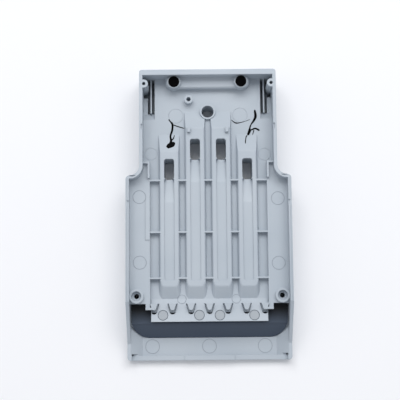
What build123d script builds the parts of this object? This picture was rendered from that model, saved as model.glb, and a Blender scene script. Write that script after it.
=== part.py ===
"""Injection moulded housing: a long tray with a narrow head, a wide body and a low chin.

Frame: +Z up out of the open side, the outer face down on z = 0, +Y towards the
narrow head end and X across.  The origin is the middle of the footprint.
Lengths are millimetres.
"""
from build123d import *
import math
import os

# ---- driving sizes: outline -------------------------------------------------
LENGTH = 174.4            # chin edge to head edge
BODY_WIDTH = 98.6         # wide part
HEAD_WIDTH = 82.2         # narrow part
BODY_LENGTH = 109.5       # chin edge to the shoulders
HEAD_CORNER_RADIUS = 2.4
CHIN_CORNER_RADIUS = 2.0
SHOULDER_HOLLOW = 5.8     # concave radius where the head meets the shoulder
SHOULDER_ROUND = 2.2      # convex radius on to the body side
SHOULDER_ROUND_SHARE = 0.3  # most of the step that the convex radius may take
LEAST_RADIUS = 0.3        # corners of the inset outlines keep at least this
FOOT_CHAMFER = 0.9        # bottom outer edge

# ---- driving sizes: walls and levels ---------------------------------------
WALL = 2.0                # skin of the whole moulding
HEAD_END_WALL = 4.0       # thicker, rounded end wall of the head
HEAD_END_ROUND = 3.2      # its outer top edge
RIM_HEIGHT = 26.0
FLOOR_HEIGHT = 14.0       # inner floor
DECK_RISE = 4.0           # humps, wings and cross ribs above the inner floor
CHIN_RIM_HEIGHT = 8.0
CHIN_LIP_HEIGHT = 4.4
LEDGE_DEPTH = 1.0         # outer step of the rim
LEDGE_WIDTH = 1.1

# ---- driving sizes: chin, counted from the chin edge ------------------------
CHIN_LIP_THICKNESS = 2.9
CHIN_LIP_RAISED_WIDTH = 30.0
CHIN_LIP_RAISE = 0.7
CHIN_LIP_SIDE_GAP = 0.5   # the lowered lip stops short of the side walls
CHIN_FLAT_WIDTH = 80.8    # flat strip between the two sloping sides
PANEL_START = 13.4        # front edge of the dark panel
PANEL_SLOPE_LENGTH = 8.6
PANEL_HEIGHT = 12.0       # level part of the panel, upper face
PANEL_THICKNESS = 1.8
PANEL_CORNER_RADIUS = 10.9
PANEL_CLEARANCE = 0.15
PANEL_LAP = 1.4
PANEL_SIDE_GAP = 0.4
FRAME_BITE = 0.6          # frame runs this far into the walls round it
RIM_FALL_START = 34.5     # where the side rims begin to drop
RIM_FALL_END = 10.0       # where they reach the chin height

# ---- driving sizes: shelf, wings and posts, counted from the chin edge ------
SHELF_EDGE = 22.9
SHELF_WIDTH = 69.4
SHELF_RISE = 2.5          # edge of the shelf above the inner floor
WING_END = 33.5
WING_TOP = 118.6
WING_INNER_WIDTH = 70.4   # clear width between the wings
BULKHEAD_THICKNESS = 2.0
POST_COUNT = 7
POST_PITCH = 11.0
POST_START = 33.6
POST_LENGTH = 4.0
POST_WIDTH = 4.6          # the two end posts run into the brackets
POST_HEIGHT = 3.6
POST_NOSE_SHARE = 0.6     # nose radius as a share of the half width
PIT_MARGIN = 0.8
PIT_REACH = 2.3
BRACKET_THICKNESS = 1.3
BRACKET_REACH = 3.6       # bracket bar in front of the wing end
BRACKET_WIDTH = 5.4
BRACKET_HEIGHT = 5.0
BRACKET_SINK = 1.0        # how far the bracket runs below the inner floor

# ---- driving sizes: humps ---------------------------------------------------
HUMP_PITCH = 15.7
HUMP_TOP_WIDTH = 11.2
HUMP_SIDE_DRAFT = 0.8     # base wider than the top, each side
HUMP_FRONT = 36.5         # foot of the lower ramp, from the chin edge
HUMP_FRONT_RAMP = 7.2
HUMP_HEAD_RAMP = 10.8
INNER_HUMP_HEAD = 24.3    # foot of the upper ramp, from the head edge
OUTER_HUMP_HEAD = 38.5
HUMP_CORNER = 3.0         # upright corners at the lower end
RAMP_SHARE = 0.6          # how far the hollow's ramps follow the shrink at the top
HUMP_EDGE = 0.4           # chamfer round the top of a hump
SLOT_WIDTH = 6.0
SLOT_CORNER = 1.4
INNER_SLOT_SETBACK = 17.4  # slot end behind the foot of the upper ramp
OUTER_SLOT_SETBACK = 15.4
WINDOW_LENGTH = 12.4
SLOT_FRONT = 46.9         # lower end of the guide, from the chin edge
GUIDE_DEPTH = 0.7
GUIDE_START_DEPTH = 3.4
GUIDE_RUN = 14.0          # length over which the guide floor rises
DUCT_WALL = 1.5
DUCT_FOOT = 0.5           # ducts and tubes stop this far above the outer face

# ---- driving sizes: cross ribs ---------------------------------------------
CROSS_RIB_PLACES = (48.6, 76.1, 107.4)   # from the chin edge
CROSS_RIB_THICKNESS = 1.0

# ---- driving sizes: head ----------------------------------------------------
RING_SETBACK = 24.6       # every place in the head is counted from the head edge
RING_BORE = 7.4
RING_WALL = 1.0
RING_RISE = 2.2
PAD_WIDTH = 50.8
PAD_FRONT = 10.6
PAD_RISE = 5.0
PAD_CHAMFER = 0.8
PAD_CORNER_RADIUS = 3.4
PLUG_SPACING = 40.6
PLUG_SETBACK = 7.3
PLUG_DIAMETER = 6.5
PLUG_RISE = 9.6           # top of the plug above the inner floor
PLUG_SOCKET_WALL = 0.8
PLUG_SOCKET_DEPTH = 6.0
PLUG_FIT = 0.05           # radial clearance in the socket
PLUG_STAND = 1.4          # how far the plug stands out of its socket
PLUG_CHAMFER = 0.4
PLUG_DIMPLE = 3.4
PLUG_DIMPLE_DEPTH = 0.3
SMALL_BOSS_OFFSET = 11.5
SMALL_BOSS_SETBACK = 17.3
SMALL_BOSS_DIAMETER = 5.2
SMALL_BOSS_BORE = 2.6
SMALL_BOSS_RISE = 4.4
SMALL_BOSS_BORE_SINK = 1.0  # how far the bore runs below the inner floor
CORNER_BOSS_SPACING = 76.6
CORNER_BOSS_SETBACK = 9.2
CORNER_BOSS_DIAMETER = 5.0
CORNER_BOSS_BORE = 2.0
CORNER_BOSS_BORE_START = 8.0   # bottom of the bore above the outer face
TAB_SPACING = 23.0
TAB_SETBACK = 36.4
TAB_WIDTH = 1.8
TAB_LENGTH = 3.0
TAB_RISE = 2.2
TRENCH_INNER = 32.3       # half width where the grooves start
TRENCH_WIDTH = 4.3
TRENCH_RIB = 0.9
TRENCH_RIB_DROP = 1.0
TRENCH_FRONT = 24.7
TRENCH_RAMP = 4.3
TRENCH_RAMP_DROP = 4.0
CORNER_POCKET = 14.7      # front edge of the deep corner pocket
SIDE_STRIP_DROP = 4.0

# ---- driving sizes: lower screw bosses and L walls --------------------------
SCREW_BOSS_SPACING = 86.6
SCREW_BOSS_PLACE = 38.0   # from the chin edge
SCREW_BOSS_DIAMETER = 8.6
SCREW_BOSS_RISE = 6.2
COUNTERBORE_DIAMETER = 5.8
COUNTERBORE_DEPTH = 3.2
SCREW_BORE = 3.0
L_WALL_THICKNESS = 1.2
L_WALL_RISE = 6.6
L_WALL_LENGTH = 10.0
WING_STEP_LENGTH = 24.0
WING_STEP_WIDTH = 2.7
WING_STEP_RISE = 0.5
WING_STEP_START = 71.5    # from the chin edge

# ---- driving sizes: rim notches ---------------------------------------------
NOTCH_LENGTH = 3.2
NOTCH_DEPTH = 1.2
NOTCH_WIDTH = 1.0         # how far it cuts into the wall
HEAD_NOTCH_SETBACK = 35.5
BODY_NOTCH_PLACE = 92.7

# ---- derived values ---------------------------------------------------------
HEAD_EDGE = LENGTH / 2
CHIN_EDGE = -LENGTH / 2
SHOULDER_Y = CHIN_EDGE + BODY_LENGTH
UNDER_FLOOR = FLOOR_HEIGHT - WALL
DECK_HEIGHT = FLOOR_HEIGHT + DECK_RISE
SHELF_Y = CHIN_EDGE + SHELF_EDGE
WING_END_Y = CHIN_EDGE + WING_END
WING_TOP_Y = CHIN_EDGE + WING_TOP
PANEL_FRONT_Y = CHIN_EDGE + PANEL_START
INNER_HALF = BODY_WIDTH / 2 - WALL
HEAD_INNER_HALF = HEAD_WIDTH / 2 - WALL
HEAD_INNER_Y = HEAD_EDGE - HEAD_END_WALL
SIDES = (-1, 1)
OVER = 1.0                # how far cutting shapes run past what they cut
BITE = 0.05               # overlap of shapes that fuse


def block(x0, x1, y0, y1, z0, z1):
    """Plain box between two corners."""
    return Pos((x0 + x1) / 2, (y0 + y1) / 2, (z0 + z1) / 2) * Box(
        abs(x1 - x0), abs(y1 - y0), abs(z1 - z0))


def side_block(side, x0, x1, y0, y1, z0, z1):
    """Box given by half widths x0 and x1, on the left (-1) or right (1)."""
    return block(side * x0, side * x1, y0, y1, z0, z1)


def upright(x, y, diameter, z0, z1):
    """Round bar along Z."""
    return Pos(x, y, (z0 + z1) / 2) * Cylinder(diameter / 2, z1 - z0)


def profile_yz(points, x0, x1):
    """Prism across X of an outline given as (y, z) points."""
    section = Plane.YZ * make_face(Polyline(*points, close=True))
    return Pos(x0, 0, 0) * extrude(section, x1 - x0, dir=(1, 0, 0))


def profile_xz(points, y0, y1):
    """Prism along Y of an outline given as (x, z) points."""
    section = make_face(Polyline(*[(x, 0, z) for x, z in points], close=True))
    return Pos(0, y0, 0) * extrude(section, y1 - y0, dir=(0, 1, 0))


def plan(inset):
    """Outline of the housing, moved in by inset, with its rounded corners."""
    body_half = BODY_WIDTH / 2 - inset
    head_half = HEAD_WIDTH / 2 - inset
    head_y = HEAD_EDGE - inset
    chin_y = CHIN_EDGE + inset
    shoulder_y = SHOULDER_Y - inset
    step = body_half - head_half
    convex = min(max(SHOULDER_ROUND - inset, LEAST_RADIUS),
                 step * SHOULDER_ROUND_SHARE)
    concave = min(SHOULDER_HOLLOW + inset, step - convex - BITE)
    corners = [
        (body_half, chin_y, max(CHIN_CORNER_RADIUS - inset, LEAST_RADIUS)),
        (body_half, shoulder_y, convex),
        (head_half, shoulder_y, concave),
        (head_half, head_y, max(HEAD_CORNER_RADIUS - inset, LEAST_RADIUS)),
    ]
    points = [(x, y) for x, y, _ in corners]
    points += [(-x, y) for x, y in reversed(points)]
    face = make_face(Polyline(*points, close=True))
    for x, y, radius in corners:
        for side in SIDES:
            corner = face.vertices().sort_by_distance(Vector(side * x, y, 0))[0]
            face = fillet(corner, radius)
    return face


def prism(face, z0, z1):
    """Upright prism of a plan outline between two heights."""
    return Pos(0, 0, z0) * extrude(face, z1 - z0)


def outer_block():
    """Solid envelope: full height body, rims that fall to the chin, rounded head end."""
    blank = prism(plan(0), 0, RIM_HEIGHT)
    blank = chamfer(blank.faces().sort_by(Axis.Z)[0].edges(), FOOT_CHAMFER)
    round_y = HEAD_EDGE - HEAD_END_ROUND
    round_z = RIM_HEIGHT - HEAD_END_ROUND
    corner = block(-BODY_WIDTH, BODY_WIDTH, round_y, HEAD_EDGE + OVER,
                   round_z, RIM_HEIGHT + OVER)
    roll = Pos(0, round_y, round_z) * Rot(0, 90, 0) * Cylinder(HEAD_END_ROUND, 3 * BODY_WIDTH)
    blank = blank - (corner - roll)
    fall_start = CHIN_EDGE + RIM_FALL_START
    fall_end = CHIN_EDGE + RIM_FALL_END
    wide = BODY_WIDTH / 2 + OVER
    falling = profile_yz([
        (CHIN_EDGE - OVER, CHIN_RIM_HEIGHT),
        (fall_end, CHIN_RIM_HEIGHT),
        (fall_start, RIM_HEIGHT),
        (fall_start, RIM_HEIGHT + OVER),
        (CHIN_EDGE - OVER, RIM_HEIGHT + OVER),
    ], -wide, wide)
    return blank - falling


def upper_cavity():
    """Everything above the inner floor, inside the walls."""
    inside = prism(plan(WALL), FLOOR_HEIGHT, RIM_HEIGHT + OVER)
    return inside - block(-HEAD_WIDTH, HEAD_WIDTH, HEAD_INNER_Y, HEAD_EDGE,
                          0, RIM_HEIGHT + 2 * OVER)


def lower_recess():
    """Hollow of the outer face under the inner floor, behind the bulkhead."""
    back = WING_END_Y + BULKHEAD_THICKNESS
    hollow = prism(plan(WALL), -OVER, UNDER_FLOOR)
    return hollow - block(-BODY_WIDTH, BODY_WIDTH, CHIN_EDGE, back, -2 * OVER, RIM_HEIGHT)


def chin_cavity():
    """Open space over the chin strip and the panel, in front of the wing ends."""
    hollow = prism(plan(WALL), WALL, RIM_HEIGHT + OVER)
    return hollow & block(-BODY_WIDTH, BODY_WIDTH, CHIN_EDGE + CHIN_LIP_THICKNESS,
                          WING_END_Y, WALL, RIM_HEIGHT + 2 * OVER)


def lip_cut():
    """Lowers the chin's end wall, leaving its raised middle part."""
    wide = BODY_WIDTH / 2 - WALL - CHIN_LIP_SIDE_GAP
    middle = CHIN_LIP_RAISED_WIDTH / 2
    y0 = CHIN_EDGE - OVER
    y1 = CHIN_EDGE + CHIN_LIP_THICKNESS + OVER
    low = block(-wide, wide, y0, y1, CHIN_LIP_HEIGHT, RIM_HEIGHT)
    return low - block(-middle, middle, y0, y1, 0, CHIN_LIP_HEIGHT + CHIN_LIP_RAISE)


def chin_sides():
    """Sloping skins between the flat strip and the side walls of the chin."""
    flat = CHIN_FLAT_WIDTH / 2
    wall = INNER_HALF + BITE
    slope = (CHIN_RIM_HEIGHT - WALL) / (INNER_HALF - flat)
    drop = WALL * math.sqrt(1 + slope * slope)
    y0 = CHIN_EDGE + WALL
    y1 = CHIN_EDGE + PANEL_START + PANEL_CORNER_RADIUS
    skins = []
    for side in SIDES:
        outline = [
            (side * flat, WALL),
            (side * wall, CHIN_RIM_HEIGHT),
            (side * wall, CHIN_RIM_HEIGHT - drop),
            (side * (flat + WALL / slope), WALL - BITE),
            (side * flat, WALL - BITE),
        ]
        skins.append(profile_xz(outline, y0, y1))
    return skins


def panel_plan(inset):
    """Plan of the panel: full inner width, with its two front corners rounded."""
    half = INNER_HALF - PANEL_SIDE_GAP - inset
    front = PANEL_FRONT_Y + inset
    back = WING_END_Y - inset
    face = make_face(Polyline((-half, front), (half, front), (half, back), (-half, back),
                              close=True))
    for side in SIDES:
        corner = face.vertices().sort_by_distance(Vector(side * half, front, 0))[0]
        face = fillet(corner, PANEL_CORNER_RADIUS - inset)
    return face


def panel_slope():
    """Rise of the sloped part of the panel for each millimetre along Y."""
    return (PANEL_HEIGHT - WALL) / PANEL_SLOPE_LENGTH


def panel_under():
    """Side view line of the panel's under face, from the outer face up, as (y, z)."""
    slope = panel_slope()
    level = PANEL_HEIGHT - PANEL_THICKNESS
    lead = PANEL_THICKNESS * (math.sqrt(1 + slope * slope) - 1) / slope
    bend = PANEL_FRONT_Y + PANEL_SLOPE_LENGTH + lead
    return [(bend - level / slope, 0), (bend, level), (WING_END_Y + OVER, level)]


def front_panel():
    """Dark bent panel that closes the opening under the shelf."""
    wide = BODY_WIDTH / 2
    bend = PANEL_FRONT_Y + PANEL_SLOPE_LENGTH
    top = [
        (WING_END_Y + OVER, PANEL_HEIGHT),
        (bend, PANEL_HEIGHT),
        (PANEL_FRONT_Y - OVER, WALL - OVER * panel_slope()),
        (PANEL_FRONT_Y - OVER, 0),
    ]
    sheet = profile_yz(panel_under() + top, -wide, wide)
    return sheet & prism(panel_plan(PANEL_CLEARANCE), 0, RIM_HEIGHT)


def panel_seat():
    """Cut for the panel through the skin, and the frame that carries its edges."""
    wide = BODY_WIDTH / 2
    under = panel_under()
    back = under[-1][0]
    above = profile_yz(under + [(back, DECK_HEIGHT), (PANEL_FRONT_Y - OVER, DECK_HEIGHT),
                                (PANEL_FRONT_Y - OVER, 0)], -wide, wide)
    below = profile_yz(under + [(back, 0)], -wide, wide)
    opening = prism(panel_plan(PANEL_LAP), -OVER, RIM_HEIGHT)
    frame = prism(panel_plan(-FRAME_BITE), 0, RIM_HEIGHT) - opening
    cut = prism(panel_plan(0), -OVER, RIM_HEIGHT) & (above + opening)
    return cut, frame & below


def shelf():
    """Gently rising shelf in front of the humps, carried over the panel."""
    half = SHELF_WIDTH / 2
    start = CHIN_EDGE + HUMP_FRONT
    edge = FLOOR_HEIGHT + SHELF_RISE
    return profile_yz([
        (start + OVER, FLOOR_HEIGHT),
        (start, FLOOR_HEIGHT),
        (SHELF_Y, edge),
        (SHELF_Y, edge - WALL),
        (WING_END_Y, UNDER_FLOOR),
        (start + OVER, UNDER_FLOOR),
    ], -half, half)


def wings():
    """Raised side decks between the humps and the body walls."""
    inner = WING_INNER_WIDTH / 2
    deck = prism(plan(WALL - BITE), UNDER_FLOOR, DECK_HEIGHT)
    under = prism(plan(2 * WALL), -OVER, DECK_HEIGHT - WALL)
    solids = []
    hollows = []
    for side in SIDES:
        solids.append(deck & side_block(side, inner, BODY_WIDTH, WING_END_Y, WING_TOP_Y,
                                        0, RIM_HEIGHT))
        hollows.append(under & side_block(
            side, inner + WALL, BODY_WIDTH, WING_END_Y + BULKHEAD_THICKNESS,
            WING_TOP_Y - WALL, -2 * OVER, RIM_HEIGHT))
    return solids, hollows


def hump(centre, head_foot, shrink, z0, z1):
    """Block with ramps at both ends and drafted sides; shrink makes the hollow under it."""
    front = CHIN_EDGE + HUMP_FRONT
    base_half = HUMP_TOP_WIDTH / 2 + HUMP_SIDE_DRAFT - shrink
    top_half = HUMP_TOP_WIDTH / 2 - shrink
    top_front = front + HUMP_FRONT_RAMP + shrink * RAMP_SHARE
    top_head = head_foot - HUMP_HEAD_RAMP - shrink * RAMP_SHARE
    along = profile_yz([
        (front + shrink, z0),
        (top_front, z1),
        (top_head, z1),
        (head_foot - shrink, z0),
    ], centre - base_half, centre + base_half)
    across = profile_xz([
        (centre - base_half, z0),
        (centre - top_half, z1),
        (centre + top_half, z1),
        (centre + base_half, z0),
    ], front, head_foot)
    return along & across


def rounded_hump(centre, head_foot):
    """Hump with its two lower upright corners rounded and its top edge chamfered."""
    body = hump(centre, head_foot, 0, FLOOR_HEIGHT, DECK_HEIGHT)
    middle = (CHIN_EDGE + HUMP_FRONT + head_foot) / 2
    corners = [edge for edge in body.edges()
               if abs(edge.start_point().Z - edge.end_point().Z) > DECK_RISE / 2
               and edge.center().Y < middle]
    body = fillet(corners, HUMP_CORNER)
    return chamfer(body.faces().sort_by(Axis.Z)[-1].edges(), HUMP_EDGE)


def hump_places():
    """Centre line, upper foot and slot end of each hump."""
    inner = HEAD_EDGE - INNER_HUMP_HEAD
    outer = HEAD_EDGE - OUTER_HUMP_HEAD
    for side in SIDES:
        yield side * HUMP_PITCH / 2, inner, inner - INNER_SLOT_SETBACK
        yield side * HUMP_PITCH * 1.5, outer, outer - OUTER_SLOT_SETBACK


def guide_section(head_end, depth_shift):
    """Side view of a guide floor from the window to its lower end, as (y, z) points."""
    window_end = head_end - WINDOW_LENGTH
    front = CHIN_EDGE + SLOT_FRONT
    deep = DECK_HEIGHT - GUIDE_START_DEPTH - depth_shift
    shallow = DECK_HEIGHT - GUIDE_DEPTH - depth_shift
    return [
        (window_end + BITE, deep),
        (window_end - GUIDE_RUN, shallow),
        (front - depth_shift, shallow),
    ]


def hump_set():
    """Solids and hollows of the four humps, their windows, ducts and guides."""
    solids = []
    hollows = []
    cuts = []
    for centre, head_foot, head_end in hump_places():
        solids.append(rounded_hump(centre, head_foot))
        window_end = head_end - WINDOW_LENGTH
        half = SLOT_WIDTH / 2
        duct_half = half + DUCT_WALL
        duct = block(centre - duct_half, centre + duct_half, window_end - DUCT_WALL,
                     head_end + DUCT_WALL, DUCT_FOOT, DECK_HEIGHT - WALL + BITE)
        chute = profile_yz(
            guide_section(head_end, DUCT_WALL)[:2] + [
                (window_end - GUIDE_RUN, DECK_HEIGHT - WALL + BITE),
                (window_end + BITE, DECK_HEIGHT - WALL + BITE),
            ], centre - duct_half, centre + duct_half)
        hollow = hump(centre, head_foot, WALL, UNDER_FLOOR - BITE, DECK_HEIGHT - WALL)
        hollows.append(hollow - duct - chute)
        solids.append(duct)
        window = Pos(centre, (head_end + window_end) / 2, 0) * RectangleRounded(
            SLOT_WIDTH, WINDOW_LENGTH, SLOT_CORNER)
        cuts.append(prism(window, -OVER, RIM_HEIGHT))
        floor_line = guide_section(head_end, 0)
        top = DECK_HEIGHT + OVER
        guide = profile_yz(floor_line + [(floor_line[-1][0], top), (floor_line[0][0], top)],
                           centre - half, centre + half)
        slot_plan = Pos(centre, (head_end + floor_line[-1][0]) / 2, 0) * RectangleRounded(
            SLOT_WIDTH, head_end - floor_line[-1][0], SLOT_CORNER)
        cuts.append(guide & prism(slot_plan, 0, RIM_HEIGHT))
    return solids, hollows, cuts


def cross_ribs():
    """Low walls across the channels, level with the deck."""
    half = WING_INNER_WIDTH / 2 + BITE
    ribs = []
    for place in CROSS_RIB_PLACES:
        y = CHIN_EDGE + place
        ribs.append(block(-half, half, y - CROSS_RIB_THICKNESS / 2,
                          y + CROSS_RIB_THICKNESS / 2, FLOOR_HEIGHT - BITE, DECK_HEIGHT))
    return ribs


def trench_set():
    """Deep grooves and pockets in the two head corners: hollows and what stays in them."""
    hollows = []
    keeps = []
    front = HEAD_EDGE - TRENCH_FRONT
    pocket = HEAD_EDGE - CORNER_POCKET
    outer = TRENCH_INNER + TRENCH_WIDTH
    middle = TRENCH_INNER + TRENCH_WIDTH / 2
    for side in SIDES:
        hollows.append(side_block(side, TRENCH_INNER, outer, front, HEAD_INNER_Y,
                                  WALL, FLOOR_HEIGHT + BITE))
        hollows.append(side_block(side, outer - BITE, HEAD_INNER_HALF, pocket, HEAD_INNER_Y,
                                  WALL, FLOOR_HEIGHT + BITE))
        hollows.append(side_block(side, outer - BITE, HEAD_INNER_HALF, front, pocket + BITE,
                                  FLOOR_HEIGHT - SIDE_STRIP_DROP, FLOOR_HEIGHT + BITE))
        ramp = [
            (front - TRENCH_RAMP, FLOOR_HEIGHT + BITE),
            (front + BITE, FLOOR_HEIGHT - TRENCH_RAMP_DROP),
            (front + BITE, FLOOR_HEIGHT + BITE),
        ]
        x0, x1 = sorted((side * TRENCH_INNER, side * HEAD_INNER_HALF))
        hollows.append(profile_yz(ramp, x0, x1))
        keeps.append(side_block(side, middle - TRENCH_RIB / 2, middle + TRENCH_RIB / 2,
                                front - BITE, HEAD_INNER_Y + BITE, WALL - BITE,
                                FLOOR_HEIGHT - TRENCH_RIB_DROP))
    return hollows, keeps


def trench_jackets():
    """Skins round the deep grooves and pockets on the outer side."""
    front = HEAD_EDGE - TRENCH_FRONT
    outer = HEAD_WIDTH / 2 - WALL + BITE
    jackets = []
    for side in SIDES:
        jackets.append(side_block(side, TRENCH_INNER - WALL, outer, front - WALL,
                                  HEAD_INNER_Y + BITE, 0, UNDER_FLOOR + BITE))
        ramp_foot = FLOOR_HEIGHT - TRENCH_RAMP_DROP - WALL
        jackets.append(side_block(side, TRENCH_INNER - WALL, outer, front - TRENCH_RAMP - WALL,
                                  front, ramp_foot, UNDER_FLOOR + BITE))
    return jackets


def head_details():
    """Raised pad, plug sockets, bosses, ring and tabs of the head."""
    pad_front = HEAD_EDGE - PAD_FRONT
    pad_top = FLOOR_HEIGHT + PAD_RISE
    pad_plan = Pos(0, (pad_front + HEAD_INNER_Y + 4 * WALL) / 2, 0) * RectangleRounded(
        PAD_WIDTH, HEAD_INNER_Y + 4 * WALL - pad_front, PAD_CORNER_RADIUS)
    pad = prism(pad_plan, FLOOR_HEIGHT - BITE, pad_top)
    pad = chamfer(pad.faces().sort_by(Axis.Z)[-1].edges(), PAD_CHAMFER)
    pad = pad - block(-HEAD_WIDTH, HEAD_WIDTH, HEAD_INNER_Y + BITE, HEAD_EDGE + 4 * WALL,
                      0, RIM_HEIGHT)
    solids = [pad]
    cuts = []
    plug_y = HEAD_EDGE - PLUG_SETBACK
    socket = PLUG_DIAMETER + 2 * PLUG_SOCKET_WALL
    socket_top = FLOOR_HEIGHT + PLUG_RISE - PLUG_STAND
    for side in SIDES:
        x = side * PLUG_SPACING / 2
        solids.append(upright(x, plug_y, socket, FLOOR_HEIGHT - BITE, socket_top))
        cuts.append(upright(x, plug_y, PLUG_DIAMETER + 2 * PLUG_FIT,
                            socket_top - PLUG_SOCKET_DEPTH, socket_top + OVER))
    ring_y = HEAD_EDGE - RING_SETBACK
    solids.append(upright(0, ring_y, RING_BORE + 2 * RING_WALL, DUCT_FOOT,
                          FLOOR_HEIGHT + RING_RISE))
    cuts.append(upright(0, ring_y, RING_BORE, -OVER, RIM_HEIGHT))
    boss_y = HEAD_EDGE - SMALL_BOSS_SETBACK
    solids.append(upright(-SMALL_BOSS_OFFSET, boss_y, SMALL_BOSS_DIAMETER,
                          UNDER_FLOOR, FLOOR_HEIGHT + SMALL_BOSS_RISE))
    cuts.append(upright(-SMALL_BOSS_OFFSET, boss_y, SMALL_BOSS_BORE,
                        FLOOR_HEIGHT - SMALL_BOSS_BORE_SINK,
                        RIM_HEIGHT))
    corner_y = HEAD_EDGE - CORNER_BOSS_SETBACK
    tab_y = HEAD_EDGE - TAB_SETBACK
    for side in SIDES:
        x = side * CORNER_BOSS_SPACING / 2
        solids.append(upright(x, corner_y, CORNER_BOSS_DIAMETER, 0, RIM_HEIGHT))
        cuts.append(upright(x, corner_y, CORNER_BOSS_BORE, CORNER_BOSS_BORE_START,
                            RIM_HEIGHT + OVER))
        tab_x = side * TAB_SPACING / 2
        solids.append(block(tab_x - TAB_WIDTH / 2, tab_x + TAB_WIDTH / 2,
                            tab_y - TAB_LENGTH / 2, tab_y + TAB_LENGTH / 2,
                            DECK_HEIGHT - WALL, DECK_HEIGHT + TAB_RISE))
    return solids, cuts


def wing_details():
    """Counterbored screw bosses, L walls and the small step on the wings."""
    solids = []
    cuts = []
    boss_y = CHIN_EDGE + SCREW_BOSS_PLACE
    boss_top = FLOOR_HEIGHT + SCREW_BOSS_RISE
    inner = WING_INNER_WIDTH / 2
    for side in SIDES:
        x = side * SCREW_BOSS_SPACING / 2
        solids.append(upright(x, boss_y, SCREW_BOSS_DIAMETER, 0, boss_top))
        cuts.append(upright(x, boss_y, COUNTERBORE_DIAMETER, boss_top - COUNTERBORE_DEPTH,
                            boss_top + OVER))
        cuts.append(upright(x, boss_y, SCREW_BORE, -OVER, boss_top))
        solids.append(side_block(side, inner, HEAD_INNER_HALF + BITE,
                                 WING_TOP_Y - L_WALL_THICKNESS, WING_TOP_Y,
                                 UNDER_FLOOR, FLOOR_HEIGHT + L_WALL_RISE))
        solids.append(side_block(side, inner, inner + L_WALL_THICKNESS,
                                 WING_TOP_Y - L_WALL_LENGTH, WING_TOP_Y,
                                 UNDER_FLOOR, FLOOR_HEIGHT + L_WALL_RISE))
    step_y = CHIN_EDGE + WING_STEP_START
    solids.append(side_block(-1, inner, inner + WING_STEP_WIDTH, step_y,
                             step_y + WING_STEP_LENGTH, DECK_HEIGHT - BITE,
                             DECK_HEIGHT + WING_STEP_RISE))
    return solids, cuts


def bullet(centre, half, nose, height):
    """Bullet shaped block whose nose points to the chin, from below the shelf up."""
    back = CHIN_EDGE + POST_START
    radius = half * POST_NOSE_SHARE
    outline = [
        Line((-half, back), (-radius, nose + radius)),
        ThreePointArc((-radius, nose + radius), (0, nose), (radius, nose + radius)),
        Line((radius, nose + radius), (half, back)),
        Line((half, back), (-half, back)),
    ]
    lift = FLOOR_HEIGHT + SHELF_RISE / 2 - WALL
    return Pos(centre, 0, lift) * extrude(make_face(outline), height)


def post_places():
    """Centre line of each post."""
    first = -(POST_COUNT - 1) / 2 * POST_PITCH
    return [first + number * POST_PITCH for number in range(POST_COUNT)]


def post(centre):
    """One post, from inside the shelf to its flat top."""
    nose = CHIN_EDGE + POST_START - POST_LENGTH
    return bullet(centre, POST_WIDTH / 2, nose, POST_HEIGHT + WALL)


def post_pits():
    """Openings through the shelf round the nose of each post, clear of the brackets."""
    nose = CHIN_EDGE + POST_START - POST_LENGTH
    front = nose - PIT_REACH
    lane = WING_INNER_WIDTH / 2 - PIT_MARGIN
    clear = block(-lane, lane, front - OVER, WING_END_Y + OVER, 0, RIM_HEIGHT)
    pits = []
    for centre in post_places():
        pit = bullet(centre, POST_WIDTH / 2 + PIT_MARGIN, front, POST_HEIGHT) & clear
        pits.append(pit - post(centre) - Pos(0, 0, -WALL) * post(centre))
    return pits


def shelf_details():
    """Row of posts and the two end brackets."""
    solids = []
    for centre in post_places():
        solids.append(post(centre))
    inner = WING_INNER_WIDTH / 2
    bar_y = WING_END_Y - BRACKET_REACH
    top = FLOOR_HEIGHT + BRACKET_HEIGHT
    for side in SIDES:
        solids.append(side_block(side, inner - BRACKET_WIDTH / 2, inner + BRACKET_WIDTH / 2,
                                 bar_y, bar_y + BRACKET_THICKNESS,
                                 FLOOR_HEIGHT - BRACKET_SINK, top))
        solids.append(side_block(side, inner, inner + BRACKET_WIDTH / 2, bar_y,
                                 WING_END_Y + BITE, FLOOR_HEIGHT - BRACKET_SINK, DECK_HEIGHT))
    return solids


def rim_cuts():
    """Outer ledge round the body rim and the small notches on the inner edge."""
    cuts = []
    ledge = prism(plan(-OVER), RIM_HEIGHT - LEDGE_DEPTH, RIM_HEIGHT + OVER)
    ledge = ledge - prism(plan(LEDGE_WIDTH), 0, RIM_HEIGHT + 2 * OVER)
    cuts.append(ledge & block(-BODY_WIDTH, BODY_WIDTH, CHIN_EDGE + RIM_FALL_START,
                              SHOULDER_Y, 0, RIM_HEIGHT + 3 * OVER))
    places = ((HEAD_EDGE - HEAD_NOTCH_SETBACK, HEAD_WIDTH / 2),
              (CHIN_EDGE + BODY_NOTCH_PLACE, BODY_WIDTH / 2))
    for y, half in places:
        for side in SIDES:
            cuts.append(side_block(side, half - WALL - OVER, half - WALL + NOTCH_WIDTH,
                                   y - NOTCH_LENGTH / 2, y + NOTCH_LENGTH / 2,
                                   RIM_HEIGHT - NOTCH_DEPTH, RIM_HEIGHT + OVER))
    return cuts


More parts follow.
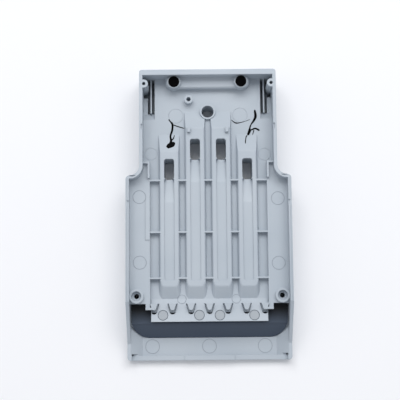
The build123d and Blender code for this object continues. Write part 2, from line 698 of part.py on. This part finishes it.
def housing():
    """The one-piece moulding."""
    body = outer_block() - upper_cavity() - lower_recess() - chin_cavity()
    wing_solids, wing_hollows = wings()
    hump_solids, hump_hollows, hump_cuts = hump_set()
    trench_hollows, trench_keeps = trench_set()
    head_solids, head_cuts = head_details()
    wing_extra, wing_cuts = wing_details()
    panel_cut, panel_frame = panel_seat()
    body = body + chin_sides()
    body = body - panel_cut
    body = body + panel_frame
    body = body + wing_solids
    body = body - wing_hollows
    body = body + [shelf()]
    body = body + trench_jackets()
    body = body - hump_hollows
    body = body + hump_solids
    body = body - hump_hollows
    body = body + cross_ribs()
    body = body - trench_hollows
    body = body + trench_keeps
    body = body + head_solids + wing_extra + shelf_details()
    body = body - hump_cuts - head_cuts - wing_cuts - [lip_cut()]
    body = body - rim_cuts() - post_pits()
    return body


def plug(side):
    """Soft plug in its socket, with a shallow dimple in its top."""
    x = side * PLUG_SPACING / 2
    y = HEAD_EDGE - PLUG_SETBACK
    top = FLOOR_HEIGHT + PLUG_RISE
    bottom = top - PLUG_STAND - PLUG_SOCKET_DEPTH
    body = upright(x, y, PLUG_DIAMETER, bottom, top)
    body = chamfer(body.edges().sort_by(Axis.Z)[-1], PLUG_CHAMFER)
    return body - upright(x, y, PLUG_DIMPLE, top - PLUG_DIMPLE_DEPTH, top + OVER)


def main():
    os.makedirs("parts", exist_ok=True)
    export_step(housing(), "parts/housing.step")
    export_step(front_panel(), "parts/front_panel.step")
    export_step(plug(-1), "parts/rubber_plug_left.step")
    export_step(plug(1), "parts/rubber_plug_right.step")


if __name__ == "__main__":
    main()
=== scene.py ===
"""Looks of the moulded housing: finishes, ink marks, ejector rings, light and camera."""

import logging
import math
from dataclasses import dataclass
from enum import Enum

import bmesh
import bpy
from mathutils import Matrix, Vector
from mathutils.bvhtree import BVHTree


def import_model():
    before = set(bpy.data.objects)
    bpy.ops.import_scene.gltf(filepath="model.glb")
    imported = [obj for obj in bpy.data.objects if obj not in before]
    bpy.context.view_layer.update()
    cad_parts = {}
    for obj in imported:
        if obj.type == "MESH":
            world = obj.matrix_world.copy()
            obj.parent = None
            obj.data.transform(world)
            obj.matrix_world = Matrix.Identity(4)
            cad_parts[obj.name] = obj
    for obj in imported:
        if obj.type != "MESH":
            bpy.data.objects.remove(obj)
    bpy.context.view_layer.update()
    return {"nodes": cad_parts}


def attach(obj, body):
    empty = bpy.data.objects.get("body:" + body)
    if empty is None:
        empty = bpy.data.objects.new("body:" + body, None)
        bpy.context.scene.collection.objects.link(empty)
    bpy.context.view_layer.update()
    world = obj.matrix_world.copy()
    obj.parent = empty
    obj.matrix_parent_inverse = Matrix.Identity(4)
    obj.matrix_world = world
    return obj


LOG = logging.getLogger("housing")
MM = 0.001
ROOT = "root"
RAY_START = 1.0       # metres: above everything on the part


class Slot(Enum):
    """Material slots of the record."""

    HOUSING = "housing"
    RUBBER = "rubber"


class PinEdge(Enum):
    """How strong the painted shade along the edge of an ejector pin is."""

    TRACE = "trace"
    FAINT = "faint"
    STEPPED = "stepped"


def linear(code: str) -> tuple[float, float, float, float]:
    """Turn an sRGB hex colour into linear RGBA.

    Args:
        code: Colour such as "#C8CED6".

    Returns:
        Red, green, blue and alpha, linear.
    """
    channels = []
    for start in (1, 3, 5):
        value = int(code[start:start + 2], 16) / 255
        channels.append(value / 12.92 if value <= 0.04045 else ((value + 0.055) / 1.055) ** 2.4)
    return (channels[0], channels[1], channels[2], 1.0)


def add_node(tree: bpy.types.NodeTree, kind: str, inputs: dict | None = None,
             **settings: object) -> bpy.types.Node:
    """Add a node with its settings, values and links.

    Args:
        tree: Tree that gets the node.
        kind: Blender's type name of the node.
        inputs: Input name or number to a value, or to an output socket to link from.
        settings: Properties of the node.

    Returns:
        The new node.
    """
    node = tree.nodes.new(kind)
    for name, value in settings.items():
        setattr(node, name, value)
    for key, value in (inputs or {}).items():
        if isinstance(value, bpy.types.NodeSocket):
            tree.links.new(value, node.inputs[key])
        else:
            node.inputs[key].default_value = value
    return node


def new_material(name: str) -> tuple[bpy.types.Material, bpy.types.NodeTree]:
    """Make an empty node material.

    Args:
        name: Name of the material.

    Returns:
        The material and its cleared node tree.
    """
    material = bpy.data.materials.new(name)
    material.use_nodes = True
    material.node_tree.nodes.clear()
    return material, material.node_tree


def finish_material(tree: bpy.types.NodeTree, shader: bpy.types.Node) -> None:
    """Link a shader to the material's output.

    Args:
        tree: Tree of the material.
        shader: Node whose first output is the surface.
    """
    add_node(tree, "ShaderNodeOutputMaterial", {"Surface": shader.outputs[0]})


def mix_colours(tree: bpy.types.NodeTree, share: bpy.types.NodeSocket, first: str,
                second: str) -> bpy.types.NodeSocket:
    """Blend two colours by a share.

    Args:
        tree: Tree that gets the node.
        share: Share of the second colour.
        first: sRGB colour at share 0.
        second: sRGB colour at share 1.

    Returns:
        The blended colour.
    """
    mix = add_node(tree, "ShaderNodeMix", {
        0: share, 6: linear(first), 7: linear(second)}, data_type="RGBA")
    return mix.outputs[2]


@dataclass(frozen=True)
class MouldedABS:
    """Pale grey ABS from a fine spark-eroded mould: satin, with faint flow shading."""

    name: str = "ABS moulded pale grey"
    colour: str = "#B6BEC6"
    flow_colour: str = "#AFB8C1"
    roughness: float = 0.5
    edge_mm: float = 0.35      # softening of the moulded edges
    ior: float = 1.53
    edge_samples: int = 6
    flow_mm: float = 38.0      # flow marks fade over a few centimetres
    flow_detail: float = 2.0
    flow_band: tuple = (0.35, 0.65)   # part of the noise over which the tone changes
    grain_mm: float = 0.9      # spark texture, coarser than real so that it shows
    grain_detail: float = 3.0
    grain_strength: float = 0.35
    grain_bump_mm: float = 0.012

    def build(self) -> bpy.types.Material:
        """Build the material.

        Returns:
            The finished material.
        """
        material, tree = new_material(self.name)
        place = add_node(tree, "ShaderNodeTexCoord").outputs["Object"]
        flow = add_node(tree, "ShaderNodeTexNoise", {
            "Vector": place, "Scale": 1 / (self.flow_mm * MM), "Detail": self.flow_detail})
        blend = add_node(tree, "ShaderNodeMapRange", {
            "Value": flow.outputs["Fac"], "From Min": self.flow_band[0],
            "From Max": self.flow_band[1]})
        tone = mix_colours(tree, blend.outputs["Result"], self.colour, self.flow_colour)
        grain = add_node(tree, "ShaderNodeTexNoise", {
            "Vector": place, "Scale": 1 / (self.grain_mm * MM),
            "Detail": self.grain_detail})
        edges = add_node(tree, "ShaderNodeBevel", {"Radius": self.edge_mm * MM},
                         samples=self.edge_samples)
        bump = add_node(tree, "ShaderNodeBump", {
            "Height": grain.outputs["Fac"], "Strength": self.grain_strength,
            "Distance": self.grain_bump_mm * MM, "Normal": edges.outputs["Normal"]})
        shader = add_node(tree, "ShaderNodeBsdfPrincipled", {
            "Base Color": tone, "Roughness": self.roughness, "IOR": self.ior,
            "Normal": bump.outputs["Normal"]})
        finish_material(tree, shader)
        return material


@dataclass(frozen=True)
class PinShadeABS:
    """ABS where a pin of the mould touched it: no spark texture, and a darker colour that paints the
    shade of the pin's step or recess.
    """

    name: str
    colour: str
    roughness: float
    ior: float = 1.53

    def build(self) -> bpy.types.Material:
        """Build the material.

        Returns:
            The finished material.
        """
        material, tree = new_material(self.name)
        shader = add_node(tree, "ShaderNodeBsdfPrincipled", {
            "Base Color": linear(self.colour), "Roughness": self.roughness, "IOR": self.ior})
        finish_material(tree, shader)
        return material


@dataclass(frozen=True)
class SmokedPlastic:
    """Dark smoked panel: hazed where it slopes; towards its back edge its colour darkens to a painted
    shade of the wing ends and walls over it.
    """

    name: str = "Polycarbonate smoked"
    # near-black painted shade where the wing ends and side walls overhang the back of the panel
    back_shade_colour: str = "#0F1216"
    slope_colour: str = "#4C5665"
    roughness: float = 0.45
    ior: float = 1.45
    specular: float = 0.25
    haze_mm: float = 14.0
    haze_detail: float = 3.0
    haze_spread: tuple = (-0.05, 0.07)    # change of roughness by the haze
    shade_fade_mm: tuple = (-67.0, -57.0)   # along the part: no painted shade yet, painted shade full

    def build(self) -> bpy.types.Material:
        """Build the material.

        Returns:
            The finished material.
        """
        material, tree = new_material(self.name)
        place = add_node(tree, "ShaderNodeTexCoord").outputs["Object"]
        along = add_node(tree, "ShaderNodeSeparateXYZ", {"Vector": place})
        # share of the painted shade, from none on the slope to full under the wing ends
        clear = add_node(tree, "ShaderNodeMapRange", {
            "Value": along.outputs["Y"], "From Min": self.shade_fade_mm[0] * MM,
            "From Max": self.shade_fade_mm[1] * MM})
        tone = mix_colours(tree, clear.outputs["Result"], self.slope_colour, self.back_shade_colour)
        haze = add_node(tree, "ShaderNodeTexNoise", {
            "Vector": place, "Scale": 1 / (self.haze_mm * MM), "Detail": self.haze_detail})
        rough = add_node(tree, "ShaderNodeMapRange", {
            "Value": haze.outputs["Fac"], "To Min": self.roughness + self.haze_spread[0],
            "To Max": self.roughness + self.haze_spread[1]})
        shader = add_node(tree, "ShaderNodeBsdfPrincipled", {
            "Base Color": tone, "Roughness": rough.outputs["Result"],
            "IOR": self.ior, "Specular IOR Level": self.specular})
        finish_material(tree, shader)
        return material


@dataclass(frozen=True)
class BlackRubber:
    """Moulded black rubber: matte, with a slight powdery grain."""

    name: str = "Rubber moulded black"
    colour: str = "#040405"
    roughness: float = 0.85
    specular: float = 0.05
    grain_mm: float = 0.4
    grain_detail: float = 2.0
    grain_strength: float = 0.4
    grain_bump_mm: float = 0.02

    def build(self) -> bpy.types.Material:
        """Build the material.

        Returns:
            The finished material.
        """
        material, tree = new_material(self.name)
        place = add_node(tree, "ShaderNodeTexCoord").outputs["Object"]
        grain = add_node(tree, "ShaderNodeTexNoise", {
            "Vector": place, "Scale": 1 / (self.grain_mm * MM),
            "Detail": self.grain_detail})
        bump = add_node(tree, "ShaderNodeBump", {
            "Height": grain.outputs["Fac"], "Strength": self.grain_strength,
            "Distance": self.grain_bump_mm * MM})
        shader = add_node(tree, "ShaderNodeBsdfPrincipled", {
            "Base Color": linear(self.colour), "Roughness": self.roughness,
            "Specular IOR Level": self.specular, "Normal": bump.outputs["Normal"]})
        finish_material(tree, shader)
        return material


@dataclass(frozen=True)
class MarkerInk:
    """Dried black marker ink: a thin matte film."""

    name: str = "Marker ink dried black"
    colour: str = "#030304"
    roughness: float = 0.8
    specular: float = 0.1
    wear_mm: float = 3.0
    wear_detail: float = 4.0
    wear_spread: tuple = (-0.1, 0.15)     # change of roughness where the film is thin

    def build(self) -> bpy.types.Material:
        """Build the material.

        Returns:
            The finished material.
        """
        material, tree = new_material(self.name)
        place = add_node(tree, "ShaderNodeTexCoord").outputs["Object"]
        wear = add_node(tree, "ShaderNodeTexNoise", {
            "Vector": place, "Scale": 1 / (self.wear_mm * MM), "Detail": self.wear_detail})
        rough = add_node(tree, "ShaderNodeMapRange", {
            "Value": wear.outputs["Fac"], "To Min": self.roughness + self.wear_spread[0],
            "To Max": self.roughness + self.wear_spread[1]})
        shader = add_node(tree, "ShaderNodeBsdfPrincipled", {
            "Base Color": linear(self.colour), "Roughness": rough.outputs["Result"],
            "Specular IOR Level": self.specular})
        finish_material(tree, shader)
        return material


class Surface:
    """Top surface of a CAD node, for laying marks on it."""

    def __init__(self, node: bpy.types.Object) -> None:
        """Build a search tree of the node's triangles.

        Args:
            node: CAD node at rest.
        """
        mesh = node.data
        corners = [node.matrix_world @ v.co for v in mesh.vertices]
        faces = [tuple(p.vertices) for p in mesh.polygons]
        self.tree = BVHTree.FromPolygons(corners, faces)

    def height(self, x: float, y: float) -> float:
        """Height of the surface under a point.

        Args:
            x: Across, in metres.
            y: Along, in metres.

        Returns:
            Height in metres, or 0 where there is nothing.
        """
        hit = self.tree.ray_cast(Vector((x, y, RAY_START)), Vector((0, 0, -1)))
        return hit[0].z if hit[0] else 0.0


def mesh_object(name: str, verts: list, faces: list, material: bpy.types.Material) -> bpy.types.Object:
    """Make a mesh object that rides on the housing.

    Args:
        name: Name of the piece.
        verts: Corner points in metres.
        faces: Corner numbers of each face.
        material: Its finish.

    Returns:
        The new object.
    """
    mesh = bpy.data.meshes.new(name)
    mesh.from_pydata(verts, [], faces)
    mesh.validate()
    obj = bpy.data.objects.new(name, mesh)
    bpy.context.scene.collection.objects.link(obj)
    mesh.materials.append(material)
    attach(obj, ROOT)
    return obj


def outward(mesh: bpy.types.Mesh) -> None:
    """Turn the faces of a closed mesh outwards.

    Args:
        mesh: Mesh to change in place.
    """
    work = bmesh.new()
    work.from_mesh(mesh)
    bmesh.ops.recalc_face_normals(work, faces=work.faces)
    work.to_mesh(mesh)
    work.free()


@dataclass
class Stroke:
    """One marker stroke: a smooth line through given points, in mm."""

    points: tuple
    widths: tuple
    steps: int = 8

    def samples(self) -> list:
        """Points and widths along the stroke.

        Returns:
            (x, y, width) tuples in mm, on a Catmull-Rom line.
        """
        points = [Vector(p) for p in self.points]
        chain = [points[0]] + points + [points[-1]]
        result = []
        for index in range(len(points) - 1):
            a, b, c, d = chain[index:index + 4]
            for step in range(self.steps):
                t = step / self.steps
                place = 0.5 * ((2 * b) + (c - a) * t + (2 * a - 5 * b + 4 * c - d) * t * t
                               + (3 * b - a - 3 * c + d) * t ** 3)
                width = self.widths[index] * (1 - t) + self.widths[index + 1] * t
                result.append((place.x, place.y, width))
        result.append((points[-1].x, points[-1].y, self.widths[-1]))
        return result


@dataclass
class InkMarks:
    """Marker strokes that lie on the plastic."""

    film_mm: float = 0.05
    lift_mm: float = 0.02
    across: tuple = (-0.5, -0.25, 0.0, 0.25, 0.5)   # shares of the stroke's width
    tip_share: float = 0.55                         # width of a stroke's tip
    tip_gain: float = 0.25                          # width won back at each step from it
    left: tuple = (
        Stroke(((-23.8, 58.4), (-21.6, 55.6), (-21.6, 51.8), (-22.7, 48.1), (-22.3, 44.9),
                (-22.6, 42.9)), (0.7, 1.2, 1.2, 1.1, 1.3, 2.2)),
        Stroke(((-24.7, 40.3), (-23.4, 41.5), (-21.6, 42.4), (-20.2, 43.8)),
               (1.8, 3.2, 3.3, 1.4)),
        Stroke(((-21.2, 55.1), (-18.1, 53.9), (-14.2, 52.7)), (0.6, 0.6, 0.5)),
        Stroke(((-22.3, 44.9), (-20.9, 46.4), (-20.3, 48.6)), (0.9, 0.7, 0.4)),
    )
    right: tuple = (
        Stroke(((28.8, 63.9), (29.3, 60.0), (28.3, 57.4), (26.5, 54.8), (25.7, 52.6),
                (25.5, 50.8), (24.4, 48.1)), (1.1, 1.6, 1.4, 0.7, 0.9, 1.8, 1.3)),
        Stroke(((26.2, 51.2), (28.9, 52.3), (31.6, 51.0)), (0.8, 1.0, 1.1)),
        Stroke(((28.2, 51.4), (27.3, 48.3)), (0.7, 0.35)),
        Stroke(((24.0, 48.2), (23.2, 46.4), (22.7, 42.6)), (0.6, 0.6, 0.55)),
        Stroke(((14.4, 57.8), (17.3, 55.8), (21.6, 56.4), (25.9, 57.9)),
               (0.25, 0.8, 0.25, 0.3)),
    )

    def ribbon(self, name: str, stroke: Stroke, surface: Surface,
               material: bpy.types.Material) -> bpy.types.Object:
        """Build one stroke as a thin closed film.

        Args:
            name: Name of the piece.
            stroke: The line and widths.
            surface: What it lies on.
            material: Its finish.

        Returns:
            The new object.
        """
        line = stroke.samples()
        rows = []
        for index, (x, y, width) in enumerate(line):
            before = line[max(index - 1, 0)]
            after = line[min(index + 1, len(line) - 1)]
            along = Vector((after[0] - before[0], after[1] - before[1]))
            side = Vector((-along.y, along.x)).normalized()
            end = min(index, len(line) - 1 - index)
            taper = min(1.0, self.tip_share + self.tip_gain * end)
            row = []
            for share in self.across:
                px = (x + side.x * width * share * taper) * MM
                py = (y + side.y * width * share * taper) * MM
                row.append((px, py, surface.height(px, py)))
            rows.append(row)
        verts = []
        for lift in (self.lift_mm + self.film_mm, self.lift_mm):
            for row in rows:
                verts.extend((px, py, pz + lift * MM) for px, py, pz in row)
        wide = len(self.across)
        half = wide * len(rows)
        faces = []
        for i in range(len(rows) - 1):
            for j in range(wide - 1):
                a = i * wide + j
                faces.append((a, a + 1, a + wide + 1, a + wide))
                faces.append((half + a, half + a + wide, half + a + wide + 1, half + a + 1))
            left = i * wide
            right = left + wide - 1
            faces.append((left, left + wide, half + left + wide, half + left))
            faces.append((right + wide, right, half + right, half + right + wide))
        for first, flip in ((0, False), (half - wide, True)):
            for j in range(wide - 1):
                a = first + j
                face = (a, half + a, half + a + 1, a + 1)
                faces.append(tuple(reversed(face)) if flip else face)
        obj = mesh_object(name, verts, faces, material)
        outward(obj.data)
        return obj

    def build(self, surface: Surface, material: bpy.types.Material) -> None:
        """Build every stroke.

        Args:
            surface: What the ink lies on.
            material: The ink.
        """
        for side, strokes in (("left", self.left), ("right", self.right)):
            for number, stroke in enumerate(strokes, 1):
                obj = self.ribbon(f"ink_{side}_{number}", stroke, surface, material)
                LOG.info("%s: %d faces", obj.name, len(obj.data.polygons))


@dataclass(frozen=True)
class EjectorRings:
    """Fine witness rings at the edges of the mould's ejector pins, coloured darker as painted shade of
    the edge step, one node tree for each size.
    """

    name: str
    radius_mm: float
    places: tuple
    line_mm: float = 0.17
    edge: PinEdge = PinEdge.FAINT
    around: int = 56
    section: int = 6

    def shape(self, tree: bpy.types.NodeTree, radius: bpy.types.NodeSocket,
              half: bpy.types.NodeSocket) -> bpy.types.NodeSocket:
        """Add the nodes of one mark: here, a thin round line.

        Args:
            tree: Tree that gets the nodes.
            radius: Radius of the mark.
            half: Half of the line's thickness.

        Returns:
            The mark's mesh.
        """
        circle = add_node(tree, "GeometryNodeCurvePrimitiveCircle", {
            "Resolution": self.around, "Radius": radius})
        line = add_node(tree, "GeometryNodeCurvePrimitiveCircle", {
            "Resolution": self.section, "Radius": half})
        ring = add_node(tree, "GeometryNodeCurveToMesh", {
            "Curve": circle.outputs["Curve"], "Profile Curve": line.outputs["Curve"]})
        return ring.outputs["Mesh"]

    def node_tree(self) -> bpy.types.GeometryNodeTree:
        """Build the tree that puts a mark on every point.

        Returns:
            The node tree, with its inputs named.
        """
        tree = bpy.data.node_groups.new(f"{self.name} tree", "GeometryNodeTree")
        tree.interface.new_socket("Points", in_out="INPUT", socket_type="NodeSocketGeometry")
        for label in ("Mark radius", "Half thickness"):
            tree.interface.new_socket(label, in_out="INPUT", socket_type="NodeSocketFloat")
        tree.interface.new_socket("Finish", in_out="INPUT", socket_type="NodeSocketMaterial")
        tree.interface.new_socket("Marks", in_out="OUTPUT", socket_type="NodeSocketGeometry")
        given = add_node(tree, "NodeGroupInput").outputs
        mark = self.shape(tree, given["Mark radius"], given["Half thickness"])
        copies = add_node(tree, "GeometryNodeInstanceOnPoints", {
            "Points": given["Points"], "Instance": mark})
        real = add_node(tree, "GeometryNodeRealizeInstances", {
            "Geometry": copies.outputs["Instances"]})
        finished = add_node(tree, "GeometryNodeSetMaterial", {
            "Geometry": real.outputs["Geometry"], "Material": given["Finish"]})
        add_node(tree, "NodeGroupOutput", {"Marks": finished.outputs["Geometry"]})
        return tree

    def build(self, surface: Surface, material: bpy.types.Material) -> bpy.types.Object:
        """Build the marks and lay them on the surface.

        Args:
            surface: What they lie on.
            material: The darker plastic tone that paints the shade along the pins' edges.

        Returns:
            The finished object.
        """
        points = bpy.data.meshes.new(f"{self.name} places")
        points.from_pydata([(x * MM, y * MM, 0.0) for x, y in self.places], [], [])
        obj = bpy.data.objects.new(self.name, points)
        bpy.context.scene.collection.objects.link(obj)
        tree = self.node_tree()
        modifier = obj.modifiers.new("marks", "NODES")
        modifier.node_group = tree
        values = {"Mark radius": self.radius_mm * MM, "Half thickness": self.line_mm * MM,
                  "Finish": material}
        for item in tree.interface.items_tree:
            if item.in_out == "INPUT" and item.name in values:
                modifier[item.identifier] = values[item.name]
        graph = bpy.context.evaluated_depsgraph_get()
        mesh = bpy.data.meshes.new_from_object(obj.evaluated_get(graph))
        obj.modifiers.clear()
        obj.data = mesh
        for vertex in mesh.vertices:
            vertex.co.z += surface.height(vertex.co.x, vertex.co.y)
        outward(mesh)
        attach(obj, ROOT)
        LOG.info("%s: %d faces", obj.name, len(mesh.polygons))
        return obj


@dataclass(frozen=True)
class PinFaces(EjectorRings):
    """Round faces that ejector pins pressed into the plastic, as thin closed discs; their darker
    colour is painted shade of the shallow recess.
    """

    line_mm: float = 0.03

    def shape(self, tree: bpy.types.NodeTree, radius: bpy.types.NodeSocket,
              half: bpy.types.NodeSocket) -> bpy.types.NodeSocket:
        """Add the nodes of one mark: here, a thin disc.

        Args:
            tree: Tree that gets the nodes.
            radius: Radius of the disc.
            half: Half of the disc's thickness.

        Returns:
            The disc's mesh.
        """
        whole = add_node(tree, "ShaderNodeMath", {0: half, 1: 2.0}, operation="MULTIPLY")
        disc = add_node(tree, "GeometryNodeMeshCylinder", {
            "Vertices": self.around, "Radius": radius, "Depth": whole.outputs[0]},
            fill_type="NGON")
        return disc.outputs["Mesh"]


def ejector_rings() -> tuple:
    """Ring sets of the head floor, the wings, the shelf and the chin strip.

    Returns:
        The ring sets, with places in mm.
    """
    return (
        EjectorRings("ejector_rings_floor", 3.7, ((-34.6, 37.1), (34.3, 36.4)),
                     edge=PinEdge.TRACE),
        EjectorRings("ejector_rings_head", 4.4, ((-19.3, 60.5), (19.8, 60.8)),
                     edge=PinEdge.TRACE),
        EjectorRings("ejector_rings_wings", 3.9, ((-41.5, 10.2), (-41.3, -29.2),
                                                  (41.6, 8.8), (41.4, -30.0))),
        EjectorRings("ejector_rings_shelf", 2.9, ((-27.7, -60.4), (-6.1, -60.5),
                                                  (6.1, -60.6), (26.6, -60.7)),
                     line_mm=0.2, edge=PinEdge.STEPPED),
        EjectorRings("ejector_rings_shelf_root", 2.6, ((-16.5, -51.0), (16.0, -51.0))),
        EjectorRings("ejector_rings_strip", 4.2, ((-34.6, -78.9), (-0.2, -78.9),
                                                  (33.5, -78.9))),
    )


@dataclass(frozen=True)
class SoftLight:
    """A white rectangular light that faces the part."""

    name: str
    place: tuple      # centre, in metres
    size: tuple       # width and height, in metres
    power: float      # watts

    def build(self) -> None:
        """Add the light to the scene."""
        lamp = bpy.data.lights.new(self.name, "AREA")
        lamp.shape = "RECTANGLE"
        lamp.size, lamp.size_y = self.size
        lamp.energy = self.power
        obj = bpy.data.objects.new(self.name, lamp)
        obj.location = self.place
        obj.rotation_euler = (-Vector(self.place)).to_track_quat("-Z", "Y").to_euler()
        bpy.context.scene.collection.objects.link(obj)


@dataclass
class Studio:
    """Pale table, soft light and the camera."""

    table_size: float = 3.0
    table_colour: str = "#F4F4F6"
    table_roughness: float = 0.9
    lamps: tuple = (
        SoftLight("key", (0.05, 0.85, 1.40), (1.8, 0.9), 18.5),
        SoftLight("left", (-1.3, 0.1, 0.9), (0.9, 1.2), 1.5),
        SoftLight("right", (1.3, 0.1, 0.9), (0.9, 1.2), 1.2),
    )
    sky_colour: str = "#EDF0F5"
    sky_strength: float = 0.61
    focal_px: float = 1000.0
    picture_px: float = 400.0
    sensor_mm: float = 36.0
    clip_m: tuple = (0.01, 20.0)
    camera_mm: tuple = (-5.862, -71.02, 612.76)
    tilt_deg: float = 7.576
    roll_deg: float = 0.55

    def table(self) -> None:
        """Build the pale table."""
        half = self.table_size / 2
        mesh = bpy.data.meshes.new("table")
        mesh.from_pydata([(-half, -half, 0), (half, -half, 0), (half, half, 0), (-half, half, 0)],
                         [], [(0, 1, 2, 3)])
        obj = bpy.data.objects.new("table", mesh)
        bpy.context.scene.collection.objects.link(obj)
        material, tree = new_material("Paper white matte")
        shader = add_node(tree, "ShaderNodeBsdfPrincipled", {
            "Base Color": linear(self.table_colour), "Roughness": self.table_roughness})
        finish_material(tree, shader)
        mesh.materials.append(material)

    def lights(self) -> None:
        """Add the lights and the sky."""
        for lamp in self.lamps:
            lamp.build()
        world = bpy.data.worlds.new("soft room")
        bpy.context.scene.world = world
        world.use_nodes = True
        background = world.node_tree.nodes["Background"]
        background.inputs["Color"].default_value = linear(self.sky_colour)
        background.inputs["Strength"].default_value = self.sky_strength

    def camera(self) -> None:
        """Place the camera over the part."""
        data = bpy.data.cameras.new("camera")
        data.sensor_width = self.sensor_mm
        data.lens = self.focal_px / self.picture_px * self.sensor_mm
        data.clip_start, data.clip_end = self.clip_m
        obj = bpy.data.objects.new("camera", data)
        turn = Matrix.Rotation(math.radians(-self.roll_deg), 4, "Z")
        tilt = Matrix.Rotation(math.radians(self.tilt_deg), 4, "X")
        place = Matrix.Translation(Vector(self.camera_mm) * MM)
        obj.matrix_world = place @ turn @ tilt
        bpy.context.scene.collection.objects.link(obj)
        bpy.context.scene.camera = obj

    def build(self) -> None:
        """Build the whole set."""
        self.table()
        self.lights()
        self.camera()
        bpy.context.scene.view_settings.view_transform = "Standard"


def ejector_faces() -> tuple:
    """Pressed faces of the shelf, where the pins left the clearest marks.

    Returns:
        The sets of faces, with places in mm.
    """
    return (
        PinFaces("ejector_faces_shelf", 2.9, ((-27.7, -60.4), (-6.1, -60.5),
                                              (6.1, -60.6), (26.6, -60.7))),
    )


def dress(frame: dict) -> dict:
    """Give the CAD nodes their finishes.

    Args:
        frame: The loaded frame.

    Returns:
        Material name to material.
    """
    finishes = {
        "housing": MouldedABS().build(),
        "front_panel": SmokedPlastic().build(),
        "rubber": BlackRubber().build(),
    }
    uses = {
        "housing": "housing",
        "front_panel": "front_panel",
        "rubber_plug_left": "rubber",
        "rubber_plug_right": "rubber",
    }
    for node, finish in uses.items():
        data = frame["nodes"][node].data
        data.materials.clear()
        data.materials.append(finishes[finish])
    return finishes


def pin_edge_shade_finishes() -> dict:
    """Build the painted shade finishes of the pins' edges, from the faintest to the clearest.

    Returns:
        Kind of edge to material.
    """
    roughness = 0.5
    # darker than the housing: painted shade along each pin's edge step
    looks = {
        PinEdge.TRACE: ("ABS pin edge trace, painted shade", "#ADB5BD"),
        PinEdge.FAINT: ("ABS pin edge line, painted shade", "#99A1AA"),
        PinEdge.STEPPED: ("ABS pin edge step, painted shade", "#5B636D"),
    }
    return {edge: PinShadeABS(name, colour, roughness).build()
            for edge, (name, colour) in looks.items()}


def main(frame: dict) -> None:
    """Build the scene.

    Args:
        frame: The loaded frame.
    """
    finishes = dress(frame)
    surface = Surface(frame["nodes"]["housing"])
    pin_edge_shades = pin_edge_shade_finishes()
    # pin edge lines: real witness lines, coloured darker as painted shade
    for rings in ejector_rings():
        rings.build(surface, pin_edge_shades[rings.edge])
    # pin faces: smooth, and darker as painted shade of the shallow recess
    pin_face_shade = PinShadeABS("ABS pin face, smooth, painted recess shade", "#9CA3AA", roughness=0.4).build()
    for faces in ejector_faces():
        faces.build(surface, pin_face_shade)
    InkMarks().build(surface, MarkerInk().build())
    Studio().build()


if __name__ == "__main__":
    logging.basicConfig(level=logging.INFO)
    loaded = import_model()
    main(loaded)
